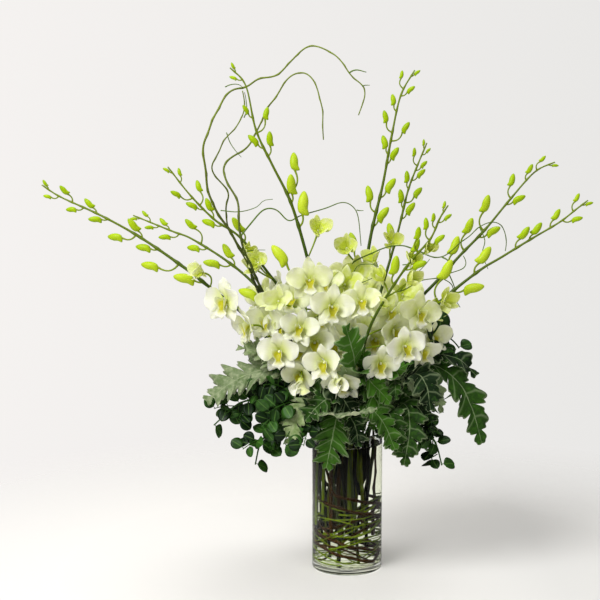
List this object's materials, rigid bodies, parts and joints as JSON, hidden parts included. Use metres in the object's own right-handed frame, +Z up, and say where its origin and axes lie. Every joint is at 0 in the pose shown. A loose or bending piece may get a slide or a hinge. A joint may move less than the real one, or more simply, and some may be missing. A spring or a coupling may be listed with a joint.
{
  "type": "orchid arrangement in a glass vase",
  "caption": "Tall spreading arrangement of white dendrobium orchid stems, curly willow and grey-green foliage standing in a clear glass cylinder vase of water.",
  "frame": {"origin": "middle of the vase's foot, on the table", "axes": "+Z up along the vase's axis, -Y towards the viewer, +X to the viewer's right"},
  "size_m": [0.7783, 0.313, 0.7562],
  "materials": {
    "orchid_spray_1": "smooth green stem with buds",
    "orchid_spray_2": "smooth green stem with buds",
    "orchid_spray_3": "smooth green stem with buds",
    "orchid_spray_4": "smooth green stem with buds",
    "orchid_spray_5": "smooth green stem with buds",
    "orchid_spray_6": "smooth green stem with buds",
    "orchid_spray_7": "smooth green stem with buds",
    "orchid_spray_8": "smooth green stem with buds",
    "orchid_spray_9": "smooth green stem with buds",
    "curly_willow_1": "young bark",
    "curly_willow_2": "young bark",
    "curly_willow_3": "young bark",
    "curly_willow_4": "young bark",
    "curly_willow_5": "young bark",
    "orchid_bloom_1": "white petal",
    "orchid_bloom_2": "white petal",
    "orchid_bloom_3": "white petal",
    "orchid_bloom_4": "white petal",
    "orchid_bloom_5": "white petal",
    "orchid_bloom_6": "white petal",
    "orchid_bloom_7": "white petal",
    "orchid_bloom_8": "white petal",
    "orchid_bloom_9": "white petal",
    "orchid_bloom_10": "white petal",
    "orchid_bloom_11": "white petal",
    "orchid_bloom_12": "white petal",
    "orchid_bloom_13": "white petal",
    "orchid_bloom_14": "white petal",
    "orchid_bloom_15": "white petal",
    "orchid_bloom_16": "white petal",
    "orchid_bloom_17": "white petal",
    "orchid_bloom_18": "white petal",
    "orchid_bloom_19": "white petal",
    "orchid_bloom_20": "white petal",
    "orchid_bloom_21": "white petal",
    "orchid_bloom_22": "white petal",
    "orchid_bloom_23": "white petal",
    "orchid_bloom_24": "white petal",
    "orchid_bloom_25": "white petal",
    "orchid_bloom_26": "white petal",
    "orchid_bloom_27": "white petal",
    "orchid_bloom_28": "white petal",
    "dusty_miller_1": "felted leaf",
    "dusty_miller_2": "felted leaf",
    "dusty_miller_3": "felted leaf",
    "dusty_miller_4": "felted leaf",
    "dusty_miller_5": "felted leaf",
    "round_leaf_sprig_1": "smooth leaf",
    "round_leaf_sprig_2": "smooth leaf",
    "round_leaf_sprig_3": "smooth leaf",
    "round_leaf_sprig_4": "smooth leaf",
    "round_leaf_sprig_5": "smooth leaf",
    "round_leaf_sprig_6": "smooth leaf",
    "round_leaf_sprig_7": "smooth leaf",
    "round_leaf_sprig_8": "smooth leaf",
    "water": "clear water",
    "vase": "clear glass"
  },
  "bodies": {
    "root": {"orchid_spray_1": "orchid_spray_1", "orchid_spray_2": "orchid_spray_2", "orchid_spray_3": "orchid_spray_3", "orchid_spray_4": "orchid_spray_4", "orchid_spray_5": "orchid_spray_5", "orchid_spray_6": "orchid_spray_6", "orchid_spray_7": "orchid_spray_7", "orchid_spray_8": "orchid_spray_8", "orchid_spray_9": "orchid_spray_9", "curly_willow_1": "curly_willow_1", "curly_willow_2": "curly_willow_2", "curly_willow_3": "curly_willow_3", "curly_willow_4": "curly_willow_4", "curly_willow_5": "curly_willow_5", "orchid_bloom_1": "orchid_bloom_1", "orchid_bloom_2": "orchid_bloom_2", "orchid_bloom_3": "orchid_bloom_3", "orchid_bloom_4": "orchid_bloom_4", "orchid_bloom_5": "orchid_bloom_5", "orchid_bloom_6": "orchid_bloom_6", "orchid_bloom_7": "orchid_bloom_7", "orchid_bloom_8": "orchid_bloom_8", "orchid_bloom_9": "orchid_bloom_9", "orchid_bloom_10": "orchid_bloom_10", "orchid_bloom_11": "orchid_bloom_11", "orchid_bloom_12": "orchid_bloom_12", "orchid_bloom_13": "orchid_bloom_13", "orchid_bloom_14": "orchid_bloom_14", "orchid_bloom_15": "orchid_bloom_15", "orchid_bloom_16": "orchid_bloom_16", "orchid_bloom_17": "orchid_bloom_17", "orchid_bloom_18": "orchid_bloom_18", "orchid_bloom_19": "orchid_bloom_19", "orchid_bloom_20": "orchid_bloom_20", "orchid_bloom_21": "orchid_bloom_21", "orchid_bloom_22": "orchid_bloom_22", "orchid_bloom_23": "orchid_bloom_23", "orchid_bloom_24": "orchid_bloom_24", "orchid_bloom_25": "orchid_bloom_25", "orchid_bloom_26": "orchid_bloom_26", "orchid_bloom_27": "orchid_bloom_27", "orchid_bloom_28": "orchid_bloom_28", "dusty_miller_1": "dusty_miller_1", "dusty_miller_2": "dusty_miller_2", "dusty_miller_3": "dusty_miller_3", "dusty_miller_4": "dusty_miller_4", "dusty_miller_5": "dusty_miller_5", "round_leaf_sprig_1": "round_leaf_sprig_1", "round_leaf_sprig_2": "round_leaf_sprig_2", "round_leaf_sprig_3": "round_leaf_sprig_3", "round_leaf_sprig_4": "round_leaf_sprig_4", "round_leaf_sprig_5": "round_leaf_sprig_5", "round_leaf_sprig_6": "round_leaf_sprig_6", "round_leaf_sprig_7": "round_leaf_sprig_7", "round_leaf_sprig_8": "round_leaf_sprig_8", "water": "water", "vase": "vase"}
  },
  "joints": []
}
